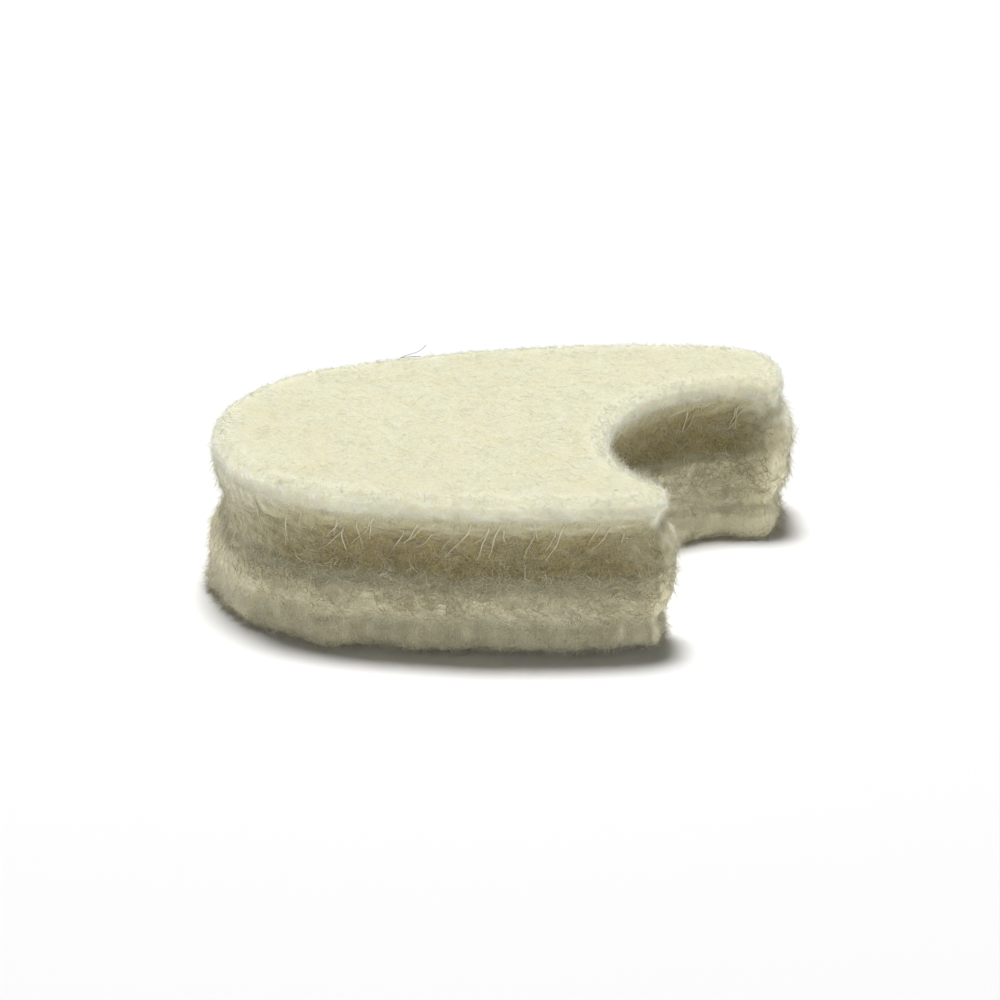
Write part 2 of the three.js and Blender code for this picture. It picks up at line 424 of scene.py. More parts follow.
@dataclass(frozen=True)
class MottleGroup:
    """A shader node group: the felted tangle of fibres, as a tone and a height."""

    name: str = "felted_tangle"

    def build(self) -> bpy.types.NodeTree:
        """Makes the group.

        Returns:
            The group, with inputs Vector, Fineness and Patch, and outputs Tone, Patches and Height.
        """
        tree = bpy.data.node_groups.new(self.name, "ShaderNodeTree")
        face = tree.interface
        face.new_socket("Vector", in_out="INPUT", socket_type="NodeSocketVector")
        numbers = {"INPUT": ("Fineness", "Patch"), "OUTPUT": ("Tone", "Patches", "Height")}
        for side, names in numbers.items():
            for name in names:
                face.new_socket(name, in_out=side, socket_type="NodeSocketFloat")
        graph = Graph(tree)
        given = graph.add("NodeGroupInput").outputs
        tangle = graph.add(
            "ShaderNodeTexNoise",
            {
                "Vector": given["Vector"],
                "Scale": given["Fineness"],
                "Detail": 4.0,
                "Roughness": 0.62,
                "Distortion": 1.6,
            },
        )
        fine = graph.add(
            "ShaderNodeTexNoise",
            {
                "Vector": given["Vector"],
                "Scale": graph.maths("MULTIPLY", given["Fineness"], 3.1),
                "Detail": 2.0,
                "Roughness": 0.5,
                "Distortion": 0.6,
            },
        )
        broad = graph.add(
            "ShaderNodeTexNoise",
            {"Vector": given["Vector"], "Scale": given["Patch"], "Detail": 2.0, "Roughness": 0.5},
        )
        blend = graph.maths("MULTIPLY", graph.maths("ADD", tangle.outputs[0], fine.outputs[0]), 0.5)
        out = graph.add("NodeGroupOutput")
        tree.links.new(blend, out.inputs["Tone"])
        tree.links.new(broad.outputs[0], out.inputs["Patches"])
        tree.links.new(blend, out.inputs["Height"])
        return tree


@dataclass(frozen=True)
class FeltFinish:
    """Pressed wool felt: cream and matte, with a little sheen and a subsurface glow at its edges; its colour
    carries painted shade in the groove and on the walls and painted light on the rim, the ridge, the ends and
    in the notch.
    """

    name: str = "wool_felt_body"
    dark: Colour = (0.58, 0.56, 0.39)
    pale: Colour = (0.70, 0.695, 0.51)
    warm: Colour = (0.66, 0.61, 0.40)
    # The next two colours are painted shade: the brown that the hollow attribute mixes in, darkest in the
    # groove and lighter on the walls.
    painted_shade_dark: Colour = (0.25, 0.20, 0.085)
    painted_shade_pale: Colour = (0.46, 0.39, 0.20)
    # The next two colours are painted light: white on the rim and high on the walls, straw lower down, mixed
    # in by the pale attribute.
    white: Colour = (0.95, 0.95, 0.80)
    painted_light_straw: Colour = (0.95, 0.89, 0.64)
    fineness: float = 2600.0
    patch: float = 420.0
    bump: float = 0.06 * MM
    wall_bump: float = 0.2 * MM
    sheen: float = 0.1
    glow_depth: float = 0.75 * MM
    glow: float = 1.0

    def build(self, mottle: bpy.types.NodeTree) -> bpy.types.Material:
        """Makes the material.

        Args:
            mottle: The shared group of the felted tangle.

        Returns:
            The material.
        """
        made, graph = new_material(self.name)
        place = graph.add("ShaderNodeTexCoord").outputs["Object"]
        centred = graph.add("ShaderNodeMapping", {"Vector": place, "Location": (0.0, 0.0, -THICKNESS / 2)})
        group = graph.add("ShaderNodeGroup", node_tree=mottle)
        for name, value in (("Fineness", self.fineness), ("Patch", self.patch)):
            group.inputs[name].default_value = value
        made.node_tree.links.new(centred.outputs[0], group.inputs["Vector"])
        tone = graph.ranged(group.outputs["Tone"], 0.36, 0.64)
        base = graph.mix(tone, self.dark, self.pale)
        patches = graph.ranged(group.outputs["Patches"], 0.45, 0.7, 0.0, 0.5)
        warmed = graph.mix(patches, base, self.warm)
        # Painted shade: the hollow attribute darkens the groove and the walls towards the painted shadow
        # colours.
        painted_shade_share = graph.add("ShaderNodeAttribute", attribute_name="hollow").outputs["Fac"]
        deep = graph.mix(painted_shade_share, warmed, graph.mix(tone, self.painted_shade_dark, self.painted_shade_pale))
        # Painted light: the pale attribute lifts the rim, the ridge, the ends and the notch towards white
        # high up and straw lower down; low on the walls it also gives paler tufts.
        painted_light_and_tufts = graph.add("ShaderNodeAttribute", attribute_name="pale").outputs["Fac"]
        lit = graph.add("ShaderNodeAttribute", attribute_name="glow").outputs["Fac"]
        lifted = graph.mix(painted_light_and_tufts, deep, graph.mix(lit, self.painted_light_straw, self.white))
        thin = graph.ranged(lit, 0.0, 1.0, 0.35, 1.0)
        rough = graph.ranged(lit, 0.0, 1.0, self.wall_bump, self.bump)
        bump = graph.add(
            "ShaderNodeBump",
            {"Height": group.outputs["Height"], "Strength": 0.8, "Distance": rough},
        )
        shader = graph.add(
            "ShaderNodeBsdfPrincipled",
            {
                "Base Color": lifted,
                "Normal": bump.outputs[0],
                "Roughness": 0.95,
                "Specular IOR Level": 0.15,
                "Sheen Weight": self.sheen,
                "Sheen Roughness": 0.6,
                "Subsurface Weight": graph.maths("MULTIPLY", thin, self.glow),
                "Subsurface Radius": (1.0, 0.85, 0.55),
                "Subsurface Scale": self.glow_depth,
            },
        )
        graph.add("ShaderNodeOutputMaterial", {"Surface": shader.outputs[0]})
        return made


@dataclass(frozen=True)
class FibreFinish:
    """Loose wool fibres: each has its own tone between two colours, with a share of painted shade in the
    groove and on the walls.
    """

    name: str
    dull: Colour
    bright: Colour
    # A painted shade colour, mixed into fibres in the groove and on the walls by the hollow attribute times
    # shade.
    hollow: Colour = (0.42, 0.35, 0.16)
    shade: float = 0.3
    fineness: float = 1800.0
    patch: float = 300.0
    roughness: float = 0.7
    sheen: float = 0.2

    def build(self, mottle: bpy.types.NodeTree) -> bpy.types.Material:
        """Makes the material.

        Args:
            mottle: The shared group, which varies the colour along a fibre.

        Returns:
            The material.
        """
        made, graph = new_material(self.name)
        tone = graph.add("ShaderNodeAttribute", attribute_name="tone")
        group = graph.add("ShaderNodeGroup", node_tree=mottle)
        group.inputs["Fineness"].default_value = self.fineness
        group.inputs["Patch"].default_value = self.patch
        made.node_tree.links.new(graph.add("ShaderNodeTexCoord").outputs["Object"], group.inputs["Vector"])
        varied = graph.maths("SUBTRACT", group.outputs["Patches"], 0.5)
        mixed = graph.maths("ADD", tone.outputs["Fac"], varied)
        # Painted shade: fibres in the groove and on the walls are darkened towards the painted shade colour.
        painted_shade_share = graph.add("ShaderNodeAttribute", attribute_name="hollow")
        shaded = graph.maths("MULTIPLY", painted_shade_share.outputs["Fac"], self.shade)
        colour = graph.mix(shaded, graph.mix(mixed, self.dull, self.bright), self.hollow)
        shader = graph.add(
            "ShaderNodeBsdfPrincipled",
            {
                "Base Color": colour,
                "Roughness": self.roughness,
                "Specular IOR Level": 0.3,
                "Sheen Weight": self.sheen,
            },
        )
        graph.add("ShaderNodeOutputMaterial", {"Surface": shader.outputs[0]})
        return made


def finish_piece(piece: bpy.types.Object) -> None:
    """Puts a piece on the part's one body and logs it.

    Args:
        piece: The finished mesh object.
    """
    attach(piece, "root")
    piece.data.calc_loop_triangles()
    LOG.info("%s: %d triangles", piece.name, len(piece.data.loop_triangles))


class Ease:
    """Pairs of limits between which a form or a mark of the felt sets in.

    Limits for a foot, a top, a lip or a height are shares of the thickness. Levels are a normal's
    upward part, facings one of its level parts, and the rest are places or gaps in metres.
    """

    WALL_LEVEL = (0.55, 0.9)
    UPRIGHT_LEVEL = (0.5, 0.85)
    GROOVE_LEVEL = (0.4, 0.8)
    EDGE_LEVEL = (0.15, 0.6)
    EDGE_END_LEVEL = (0.8, 0.98)
    TOP_LEVEL = (0.9, 0.99)
    LIP_LEVEL = (0.985, 0.999)
    STEEP_LEVEL = (0.6, 1.0)
    UNDER_LEVEL = (-0.95, -0.7)
    GROOVE_FOOT = (0.26, 0.5)
    GROOVE_LIP = (0.66, 0.9)
    RIDGE_FOOT = (0.2, 0.3)
    RIDGE_TOP = (0.36, 0.48)
    HEM_TOP = (0.1, 0.42)
    SLUMP_TOP = (0.08, 0.45)
    FLAT_TOP_HEIGHT = (0.93, 0.97)
    LIP_HEIGHT = (0.84, 0.9)
    HOLLOW_NAP_FOOT = (0.4, 0.5)
    HOLLOW_NAP_TOP = (0.7, 0.8)
    RIDGE_NAP_FOOT = (0.2, 0.28)
    RIDGE_NAP_TOP = (0.43, 0.51)
    LOWER_NAP_FOOT = (0.0, 0.02)
    LOWER_NAP_TOP = (0.22, 0.3)
    END_NAP_TOP = (0.8, 0.88)
    FRINGE_TOP = (0.03, 0.07)
    HAIRS_FOOT = (0.72, 0.78)
    PALE_RIM_FOOT = (0.84, 0.93)
    PALE_RIDGE_FOOT = (0.18, 0.32)
    PALE_RIDGE_TOP = (0.38, 0.5)
    PALE_FOOT_TOP = (0.15, 0.3)
    LIT_NOTCH_TOP = (0.4, 0.6)
    GLOW_FOOT = (0.6, 0.8)
    GROOVE_FACING = (0.35, 0.75)
    CALM_FACING = (0.15, 0.6)
    HEM_FACING = (0.3, 0.8)
    HAIRS_FACING = (0.2, 0.4)
    PALE_FACING = (0.2, 0.75)
    PALE_LEFT_FACING = (0.5, 0.95)
    BRISTLES_FACING = (-0.1, 0.3)
    ROUND_END = (LOW.x + 1.0 * MM, LOW.x + 8.0 * MM)
    LEFT_END = (LOW.x, LOW.x + 4.0 * MM)
    LONG_TIP = (HIGH.x - 3.5 * MM, HIGH.x - 0.8 * MM)
    SLUMP_ALONG = (-2.0 * MM, 7.0 * MM)
    SLUMP_OUT = (SHORT_ARM_Y, LOW.y + 1.0 * MM)
    CORNER_ALONG = (HIGH.x - 7.0 * MM, HIGH.x - 1.0 * MM)
    CORNER_OUT = (HIGH.y - 6.0 * MM, HIGH.y)
    BACK_OUT = (4.0 * MM, HIGH.y)
    LEFT_ALONG = (LOW.x + 0.5 * MM, LOW.x + 5.0 * MM)
    LEFT_OUT = (0.0, 6.0 * MM)
    OFF_FLOOR = (0.0, 0.15 * MM)
    NOTCH_WALL_GAP = (0.0, 1.0 * MM)
    NOTCH_GROOVE_GAP = (1.2 * MM, 2.0 * MM)
    NOTCH_RIM_GAP = (0.8 * MM, 2.0 * MM)


@dataclass(frozen=True)
class Tint:
    """How strongly each mark changes the felt's colour, as shares, and how the clumps vary it. The wall,
    groove and notch shares set painted shade; the rim, near-rim, ridge, ends, tip and lit-notch shares set
    painted light; foot sets paler tufts low on the walls.
    """

    wall: float = 0.38
    groove: float = 0.62
    notch_painted_shade_cut: float = 0.2
    painted_shade_clumps: tuple[float, float] = (0.82, 0.18)
    rim: float = 0.8
    notch_rim: float = 0.1
    near_rim: float = 0.3
    rim_clumps: tuple[float, float] = (0.85, 0.15)
    ridge: float = 0.75
    ridge_clumps: tuple[float, float] = (0.6, 0.4)
    foot: float = 0.5
    arm_ends: float = 0.95
    left_end: float = 0.4
    long_tip: float = 0.55
    lit_notch: float = 0.5


@dataclass
class FeltBody:
    """The felt itself: the solid's shape, remeshed finely, with the lumps of pressed wool."""

    voxel: float = 0.2 * MM
    smooth_steps: int = 5
    lump_size: float = 2.6 * MM
    lump: float = 0.1 * MM
    tuft_size: float = 0.55 * MM
    tuft: float = 0.1 * MM
    layer_size: float = 0.4 * MM
    layer_stretch: float = 5.0
    layer: float = 0.06 * MM
    face_share: float = 0.3
    groove_sink: float = 0.1 * MM
    groove_raise: float = 0.06
    round_fill: float = 0.6
    arm_fill: float = 0.4
    rim_edge: float = 0.04 * MM
    rim_height: float = 0.85
    rim_fade: float = 1.6 * MM
    rim_levels: tuple[float, float] = (0.3, 0.8)
    upper_height: float = 0.9
    notch_raise: float = 0.08
    notch_ridge_loss: float = 0.7
    notch_nap_loss: float = 0.35
    ridge: float = 0.28 * MM
    hem: float = 0.25 * MM
    hem_waves: float = 1.6
    wave_size: float = 2.2 * MM
    arm_hem: float = 0.85 * MM
    clump_size: float = 0.6 * MM
    clump_stretch: float = 2.0
    clump_gain: float = 2.2
    clump_range: tuple[float, float] = (0.1, 2.0)
    foot_tuft: float = 0.7 * MM
    foot_stretch: float = 3.0
    calm: float = 0.9
    end_nap: float = 0.7
    corner_wear: float = 0.9 * MM
    back_wear: float = 0.35 * MM
    left_wear: float = 0.6 * MM
    arm_setback: float = 7.0 * MM
    arm_fade: float = 5.0 * MM
    arm_end: float = 1.2 * MM
    tint: Tint = Tint()
    mesh: bpy.types.Mesh | None = field(default=None, repr=False)
    places: np.ndarray = field(init=False)
    normals: np.ndarray = field(init=False)
    x: np.ndarray = field(init=False)
    y: np.ndarray = field(init=False)
    z: np.ndarray = field(init=False)
    height: np.ndarray = field(init=False)
    facing: np.ndarray = field(init=False)
    level: np.ndarray = field(init=False)
    in_notch: np.ndarray = field(init=False)

    def build(self, finish: bpy.types.Material) -> bpy.types.Object:
        """Args:
            finish: The felt's material.

        Returns:
            The body's object.
        """
        self.mesh = self._remeshed()
        self._roughen()
        self._mark()
        piece = linked("felt_body", self.mesh)
        self.mesh.materials.clear()
        self.mesh.materials.append(finish)
        self.mesh.shade_smooth()
        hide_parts(PAD_NODE)
        finish_piece(piece)
        return piece

    def _remeshed(self) -> bpy.types.Mesh:
        """Copies the solid's mesh, merges it and gives it even small faces.

        Returns:
            The new mesh.
        """
        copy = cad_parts[PAD_NODE].data.copy()
        work = bmesh.new()
        work.from_mesh(copy)
        bmesh.ops.remove_doubles(work, verts=work.verts, dist=0.001 * MM)
        work.to_mesh(copy)
        work.free()
        holder = linked("felt_core", copy)
        remesh = holder.modifiers.new("even", "REMESH")
        remesh.mode = "VOXEL"
        remesh.voxel_size = self.voxel
        soften = holder.modifiers.new("soften", "SMOOTH")
        soften.factor = 0.5
        soften.iterations = self.smooth_steps
        return baked(holder, "felt_body")

    def _look(self) -> None:
        """Reads the vertices off the mesh and keeps what the marks need to know of them."""
        count = len(self.mesh.vertices)
        places = np.empty(count * 3)
        self.mesh.vertices.foreach_get("co", places)
        normals = np.empty(count * 3)
        self.mesh.vertices.foreach_get("normal", normals)
        self.places = places.reshape(-1, 3)
        self.normals = normals.reshape(-1, 3)
        self.x, self.y, self.z = self.places.T
        self.height = self.z / THICKNESS
        self.facing = self.normals[:, 0]
        self.level = self.normals[:, 2]
        self.in_notch = self._round_notch(*Ease.NOTCH_WALL_GAP)

    def _depth_share(self) -> np.ndarray:
        """Gives how deep in the groove each place is.

        Returns:
            Shares from 0, outside the groove and on the arms' ends, to 1 at its bottom.
        """
        upright = step_down(*Ease.GROOVE_LEVEL, self.level)
        raised = self.height - self.groove_raise * self._round_notch(*Ease.NOTCH_GROOVE_GAP)
        band = smooth_step(*Ease.GROOVE_FOOT, self.height) * step_down(*Ease.GROOVE_LIP, raised)
        facing = smooth_step(*Ease.GROOVE_FACING, self.facing)
        long_end = smooth_step(HIGH.x - self.arm_fade, HIGH.x - self.arm_end, self.x)
        short_x = HIGH.x - self.arm_setback
        short_end = smooth_step(short_x - self.arm_fade, short_x - self.arm_end, self.x)
        short_end *= self.y < SHORT_ARM_Y
        round_end = step_down(*Ease.ROUND_END, self.x)
        arms = np.maximum(long_end, short_end) * np.maximum(facing, self.arm_fill)
        return upright * band * (1.0 - self.round_fill * round_end) * (1.0 - arms)

    def _calm_share(self) -> np.ndarray:
        """Gives where the nap is short: on the arms' ends and round the pad's left end.

        Returns:
            Shares from 0, where it is full, to the calmest places' share.
        """
        by_arms = self.x > HIGH.x - self.arm_setback - self.arm_fade
        facing = smooth_step(*Ease.CALM_FACING, self.facing) * by_arms
        tip = smooth_step(*Ease.LONG_TIP, self.x)
        left = self.calm * step_down(*Ease.LEFT_END, self.x)
        return np.maximum(self.calm * np.maximum(facing, tip), left)

    def _clumps(self, seed: float) -> np.ndarray:
        """Gathers the fibres in clumps, longer along the layers than across.

        Args:
            seed: Shifts the pattern.

        Returns:
            Shares round 1.
        """
        shift = Vector((seed, 5.0, 2.0))
        size = self.clump_size
        wide = self.clump_stretch
        found = [noise.noise(Vector((x / wide, y / wide, z)) / size + shift) for x, y, z in self.places]
        return np.clip(1.0 + self.clump_gain * np.array(found), *self.clump_range)

    def _pushed(self) -> np.ndarray:
        """Gives how far the felt stands out from the solid: a crisper rim, a fuller ridge and hem.

        Returns:
            Distances along the normals.
        """
        rounded = smooth_step(*Ease.EDGE_LEVEL, self.level) * step_down(*Ease.EDGE_END_LEVEL, self.level)
        rounded *= self.height > self.rim_height
        wall = step_down(*Ease.WALL_LEVEL, np.abs(self.level))
        raised = self.height - self.notch_raise * self.in_notch
        ridge = wall * smooth_step(*Ease.RIDGE_FOOT, raised) * step_down(*Ease.RIDGE_TOP, raised)
        ridge *= 1.0 - self.notch_ridge_loss * self.in_notch
        low = wall * step_down(*Ease.HEM_TOP, self.height) * step_down(*Ease.HEM_FACING, self.facing)
        flat = [Vector((x, y, 0.0)) / self.wave_size for x, y, z in self.places]
        waves = 1.0 + self.hem_waves * np.array([noise.noise(place) for place in flat])
        return self.rim_edge * rounded + self.ridge * ridge + self.hem * low * waves

    def _round_notch(self, near: float, far: float) -> np.ndarray:
        """Gives where the notch's surroundings are.

        Args:
            near: The gap from the notch's radius at which the share starts to fall.
            far: The gap at which it is 0.

        Returns:
            Shares from 1 at the notch to 0 away from it.
        """
        gap = np.hypot(self.x - NOTCH_CENTRE.x, self.y - NOTCH_CENTRE.y)
        return step_down(NOTCH_RADIUS + near, NOTCH_RADIUS + far, gap)

    def _near_rim(self) -> np.ndarray:
        """Gives how near to the rim each place of the upper face is.

        Returns:
            Shares from 1 at the rim to 0 further in, and 0 on the walls.
        """
        low, high = self.rim_levels
        upper = self.z > self.upper_height * THICKNESS
        edge = np.flatnonzero(upper & (self.level > low) & (self.level < high))
        tree = kdtree.KDTree(len(edge))
        for index in edge:
            tree.insert(self.places[index], int(index))
        tree.balance()
        gaps = np.full(len(self.places), self.rim_fade)
        for index in np.flatnonzero(upper):
            gaps[index] = tree.find(self.places[index])[2]
        return step_down(0.0, self.rim_fade, gaps)

    def _worn(self) -> np.ndarray:
        """Gives how far the felt has slumped or been rubbed away towards the front.

        Returns:
            Distances for the short arm's foot, the back edge and its two corners.
        """
        along = smooth_step(*Ease.SLUMP_ALONG, self.x)
        outer = smooth_step(*Ease.SLUMP_OUT, self.y)
        slumped = self.arm_hem * step_down(*Ease.SLUMP_TOP, self.height) * along * outer
        along = smooth_step(*Ease.CORNER_ALONG, self.x)
        outer = smooth_step(*Ease.CORNER_OUT, self.y)
        back = self.back_wear * smooth_step(*Ease.BACK_OUT, self.y)
        left = step_down(*Ease.LEFT_ALONG, self.x) * smooth_step(*Ease.LEFT_OUT, self.y)
        eased = np.maximum(back, self.corner_wear * along * outer) + self.left_wear * left
        return slumped + eased

    def _roughen(self) -> None:
        """Moves the surface in and out by the felt's lumps, tufts and pressed layers."""
        self._look()
        wall = step_down(*Ease.WALL_LEVEL, np.abs(self.level))
        share = self.face_share + (1.0 - self.face_share) * wall
        rest = smooth_step(*Ease.OFF_FLOOR, self.z)
        pushed = self._pushed() - self.groove_sink * self._depth_share()
        wide = self.layer_stretch
        moves = np.empty(len(self.places))
        for index, (x, y, z) in enumerate(self.places):
            lump = noise.noise(Vector((x, y, z)) / self.lump_size)
            tuft = noise.noise(Vector((x, y, z)) / self.tuft_size + TUFT_SHIFT)
            stretched = Vector((x / wide, y / wide, z)) / self.layer_size
            layer = noise.noise(stretched + LAYER_SHIFT) * wall[index]
            moves[index] = lump * self.lump + tuft * self.tuft + layer * self.layer
        moved = self.places + self.normals * (moves * share * rest + pushed)[:, None]
        moved[:, 1] -= self._worn()
        moved[:, 2] = np.maximum(moved[:, 2], LOW.z)
        self.mesh.vertices.foreach_set("co", moved.ravel())
        self.mesh.update()

    def _mark(self) -> None:
        """Stores where each kind of fibre grows, and the painted shade and painted light in the felt's
        colour.
        """
        self._look()
        marks = {mask.value: values for mask, values in self._masks().items()}
        marks |= self._tints()
        for name, values in marks.items():
            made = self.mesh.attributes.new(name, "FLOAT", "POINT")
            made.data.foreach_set("value", values.astype(np.float32))

    def _masks(self) -> dict[Mask, np.ndarray]:
        """Works out where each kind of fibre grows.

        Returns:
            How densely each kind grows, as shares of its layer's density.
        """
        upright = step_down(*Ease.UPRIGHT_LEVEL, np.abs(self.level))
        flat_top = smooth_step(*Ease.TOP_LEVEL, self.level) * smooth_step(*Ease.FLAT_TOP_HEIGHT, self.height)
        lip = smooth_step(*Ease.LIP_HEIGHT, self.height) * step_down(*Ease.LIP_LEVEL, self.level)
        by_notch = lip * self._round_notch(*Ease.NOTCH_RIM_GAP)
        calm = 1.0 - self._calm_share()
        clumps = self._clumps(NAP_SEED)
        wild = upright * calm * clumps
        hollow = wild * (1.0 - self.notch_nap_loss * self.in_notch)
        hollow *= smooth_step(*Ease.HOLLOW_NAP_FOOT, self.height)
        ridge = wild * smooth_step(*Ease.RIDGE_NAP_FOOT, self.height)
        ends = self.end_nap * upright * (1.0 - calm) * step_down(*Ease.END_NAP_TOP, self.height)
        low = np.maximum(step_down(*Ease.LOWER_NAP_TOP, self.height), ends)
        hairs = upright * calm * step_down(*Ease.HAIRS_FACING, self.facing)
        hairs *= smooth_step(*Ease.HAIRS_FOOT, self.height)
        return {
            Mask.TOP: flat_top * clumps,
            Mask.RIM: lip,
            Mask.BRISTLES: by_notch * smooth_step(*Ease.BRISTLES_FACING, self.normals[:, 1]),
            Mask.HOLLOW: hollow * step_down(*Ease.HOLLOW_NAP_TOP, self.height),
            Mask.RIDGE: ridge * step_down(*Ease.RIDGE_NAP_TOP, self.height),
            Mask.LOWER: smooth_step(*Ease.LOWER_NAP_FOOT, self.height) * low,
            Mask.FOOT: smooth_step(*Ease.UNDER_LEVEL, self.level) * step_down(*Ease.FRINGE_TOP, self.height),
            Mask.UNDER_LIP: hairs * step_down(*Ease.LIP_HEIGHT, self.height),
        }

    def _tints(self) -> dict[str, np.ndarray]:
        """Works out what changes the felt's colour.

        Returns:
            Shares by name: how much painted shade (hollow), how much painted light with paler tufts low on
                the walls (pale), and how high each place is (glow, which sets the subsurface glow and whether
                the painted light is white or straw).
        """
        tint = self.tint
        upright = step_down(*Ease.UPRIGHT_LEVEL, np.abs(self.level))
        # Painted shade: darker on all walls and more so deep in the groove, a little less in the notch,
        # uneven with the clumps.
        hollow = tint.wall * upright + tint.groove * self._depth_share()
        hollow *= 1.0 - tint.notch_painted_shade_cut * self.in_notch
        hollow *= self._uneven(PAINTED_SHADE_SEED, *tint.painted_shade_clumps)
        # Painted highlight: a white band on the rim and on the upper face near it, uneven with the clumps.
        lip = smooth_step(*Ease.LIP_HEIGHT, self.height) * step_down(*Ease.LIP_LEVEL, self.level)
        rim = tint.rim * lip * step_down(*Ease.STEEP_LEVEL, self.level)
        rim *= smooth_step(*Ease.PALE_RIM_FOOT, self.height)
        rim *= 1.0 - tint.notch_rim * self.in_notch
        rim = np.maximum(rim, tint.near_rim * self._near_rim())
        rim *= self._uneven(RIM_SEED, *tint.rim_clumps)
        # Painted light on the ridge's upper flank, uneven with the clumps.
        raised = self.height - self.notch_raise * self.in_notch
        ridge = upright * smooth_step(*Ease.PALE_RIDGE_FOOT, raised)
        ridge *= step_down(*Ease.PALE_RIDGE_TOP, raised)
        foot = upright * step_down(*Ease.PALE_FOOT_TOP, self.height)
        wide, size = self.foot_stretch, self.foot_tuft
        tufts = [max(0.0, noise.noise(Vector((x, y, z / wide)) / size)) for x, y, z in self.places]
        # Painted light on the arms' ends, the left end and the long tip, outside the notch.
        ends = tint.arm_ends * smooth_step(*Ease.PALE_FACING, self.facing)
        ends += tint.left_end * smooth_step(*Ease.PALE_LEFT_FACING, -self.facing)
        ends *= upright * (1.0 - self._round_notch(*Ease.NOTCH_GROOVE_GAP))
        ends += tint.long_tip * upright * smooth_step(*Ease.LONG_TIP, self.x)
        # Painted light low on the notch's wall.
        lit_notch = tint.lit_notch * self.in_notch * upright * step_down(*Ease.LIT_NOTCH_TOP, self.height)
        walls = tint.ridge * ridge * self._uneven(NAP_SEED, *tint.ridge_clumps)
        walls = walls + tint.foot * foot * np.array(tufts) + ends + lit_notch
        return {
            "hollow": np.clip(hollow, 0.0, 1.0),
            "pale": np.clip(np.maximum(rim, walls), 0.0, 1.0),
            "glow": smooth_step(*Ease.GLOW_FOOT, self.height),
        }

    def _uneven(self, seed: float, least: float, gain: float) -> np.ndarray:
        """Gives shares that vary with the clumps, from the least share up."""
        return least + gain * self._clumps(seed)


@dataclass
class FibreLayer:
    """One piece of the nap: many fibres of one kind, grown where its mask says."""

    name: str
    mask: Mask
    count_per_mm2: float
    length: float
    thickness: float
    rise: float
    seed: int
    length_spread: float = 0.45
    rise_spread: float = 0.1
    along: tuple[float, float, float] = (0.0, 0.0, 0.0)
    order: float = 0.0
    curl: float = 0.5
    crimp: float = 0.0
    droop: float = 0.0
    points: int = 4
    NUMBERS: ClassVar[tuple[str, ...]] = (
        "seed", "length", "length_spread", "thickness", "rise", "rise_spread",
        "along", "order", "curl", "crimp", "droop", "points",
    )

    def build(self, body: FeltBody, tree: FibreTree, finish: bpy.types.Material) -> bpy.types.Object:
        """Grows the fibres and turns them into one plain mesh.

        Args:
            body: The felt that they grow on.
            tree: The Geometry Nodes tree.
            finish: The fibres' material.

        Returns:
            The piece.
        """
        holder = linked("roots", body.mesh.copy())
        grow = holder.modifiers.new("grow", "NODES")
        grow.node_group = tree.tree
        values: dict[str, Any] = {
            "Mask": self.mask.value,
            "Density": self.count_per_mm2 / (MM * MM),
            "Material": finish,
        }
        for name in self.NUMBERS:
            values[name.replace("_", " ").title()] = getattr(self, name)
        for name, value in values.items():
            grow[tree.sockets[name]] = value
        piece = linked(self.name, baked(holder, self.name))
        finish_piece(piece)
        return piece


@dataclass
class StrayHairs:
    """The few dark strands on the upper face: a bent hair at the back edge and a tiny speck."""

    radius: float = 0.014 * MM
    steps: int = 6

    def build(self, finish: bpy.types.Material) -> bpy.types.Object:
        """Makes the strands as one piece.

        Args:
            finish: Their material.

        Returns:
            The piece.
        """
        curve = bpy.data.curves.new("stray_hairs", "CURVE")
        curve.dimensions = "3D"
        curve.bevel_depth = self.radius
        curve.bevel_resolution = 1
        curve.use_fill_caps = True
        curve.resolution_u = self.steps
        for points in self._paths():
            strand = curve.splines.new("NURBS")
            strand.points.add(len(points) - 1)
            for point, place in zip(strand.points, points):
                point.co = (*(Vector(place) * MM), 1.0)
            strand.use_endpoint_u = True
            strand.order_u = min(4, len(points))
        mesh = baked(linked("strands", curve), "stray_hairs")
        mesh.materials.clear()
        mesh.materials.append(finish)
        piece = linked("stray_hairs", mesh)
        finish_piece(piece)
        return piece

    def _paths(self) -> list[list[tuple[float, float, float]]]:
        """Gives the strands' points.

        Returns:
            The points of each strand, in millimetres.
        """
        back_hair = [(-6.2, 8.5, 9.4), (-5.9, 8.8, 9.55), (-5.3, 8.95, 9.6)]
        back_hair += [(-4.8, 9.0, 9.8), (-4.55, 9.0, 10.15)]
        short_hair = [(-6.0, 8.7, 9.45), (-5.4, 8.8, 9.56), (-4.9, 8.9, 9.45)]
        speck = [(6.12, -9.72, 9.5), (6.2, -9.66, 9.58), (6.26, -9.74, 9.56), (6.3, -9.64, 9.5)]
        return [back_hair, short_hair, speck]


